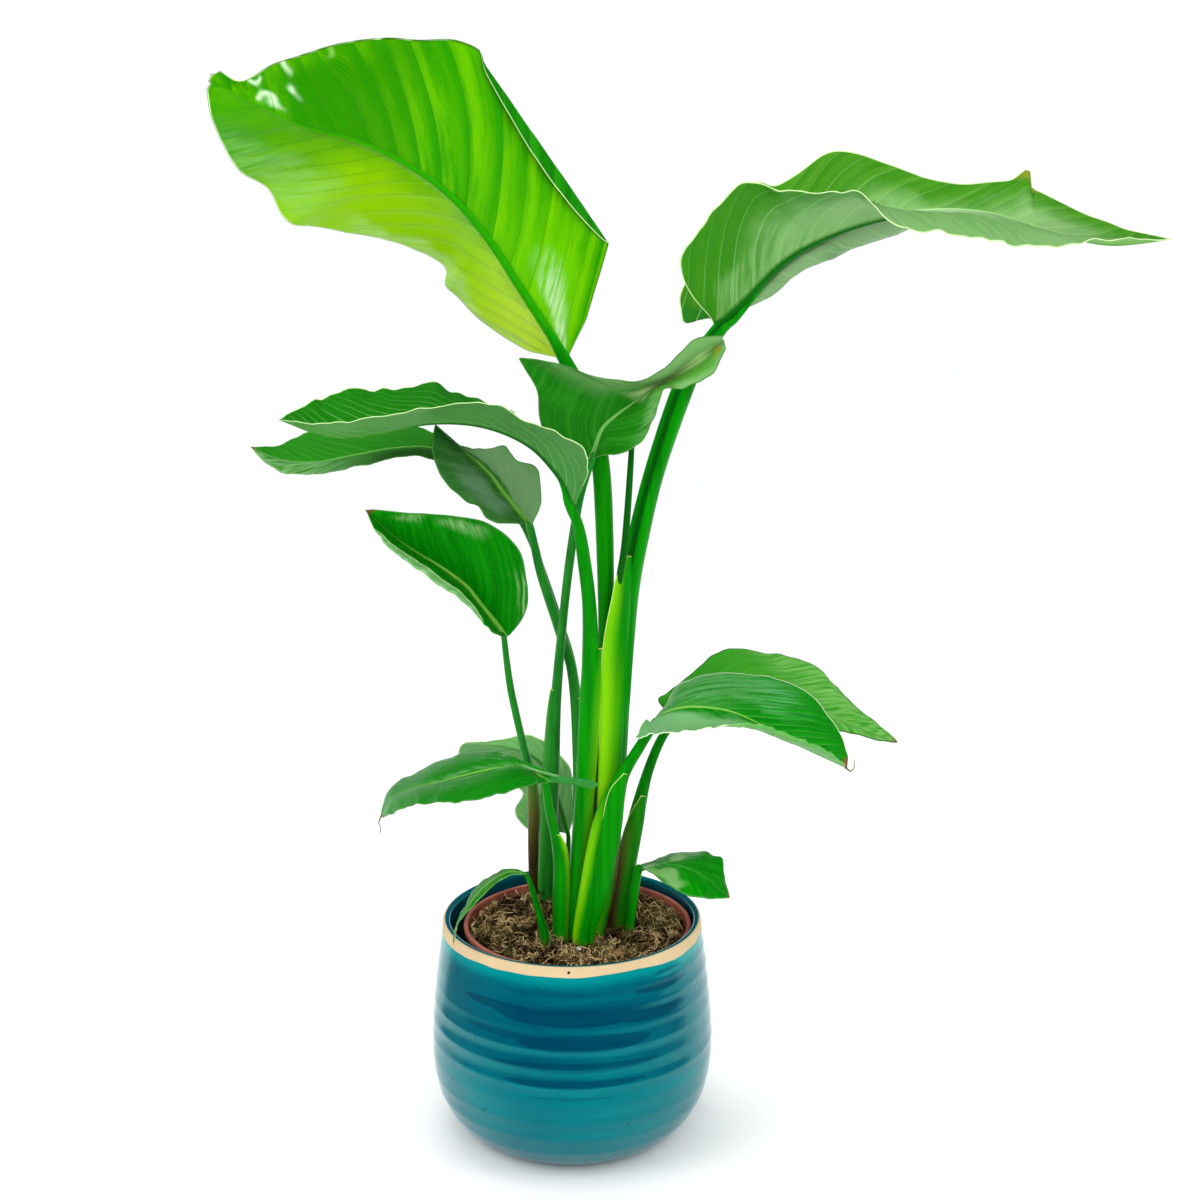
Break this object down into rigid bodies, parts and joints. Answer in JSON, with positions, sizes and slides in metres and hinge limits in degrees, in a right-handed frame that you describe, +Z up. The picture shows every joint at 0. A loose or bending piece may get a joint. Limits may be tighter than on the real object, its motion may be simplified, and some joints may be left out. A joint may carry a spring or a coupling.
{
  "type": "potted giant white bird of paradise",
  "caption": "Tall foliage plant with large paddle-shaped arching leaves on channelled stalks, standing in soil in a growing pot inside a round-bellied glazed pot.",
  "frame": {"origin": "centre of the glazed pot's flat underside", "axes": "+Z up along the pot's axis; +X to the right and +Y to the back as the plant is seen from its front"},
  "size_m": [0.7455, 0.2549, 0.947],
  "materials": {
    "glaze": "glossy teal glaze with fine crazing, bare cream clay at the rim",
    "growing_pot_plastic": "matt terracotta-coloured plastic",
    "soil_and_moss": "rough fibrous peat soil under brown-green moss",
    "young_leaf": "satin yellow-green young leaf with parallel side veins",
    "leaf": "satin green leaf with a pale midrib, parallel side veins and thin pale margins"
  },
  "bodies": {
    "root": {"glazed_pot": "glaze", "nursery_pot": "growing_pot_plastic", "potting_soil": "soil_and_moss", "leaf_a": "young_leaf", "leaf_b": "leaf", "leaf_c": "leaf", "leaf_d": "leaf", "leaf_e": "leaf", "leaf_f": "leaf", "leaf_g": "leaf", "leaf_h": "leaf", "leaf_i": "leaf", "leaf_j": "leaf", "leaf_k": "leaf", "leaf_m": "leaf", "leaf_n": "leaf", "spear": "young_leaf"}
  },
  "joints": []
}
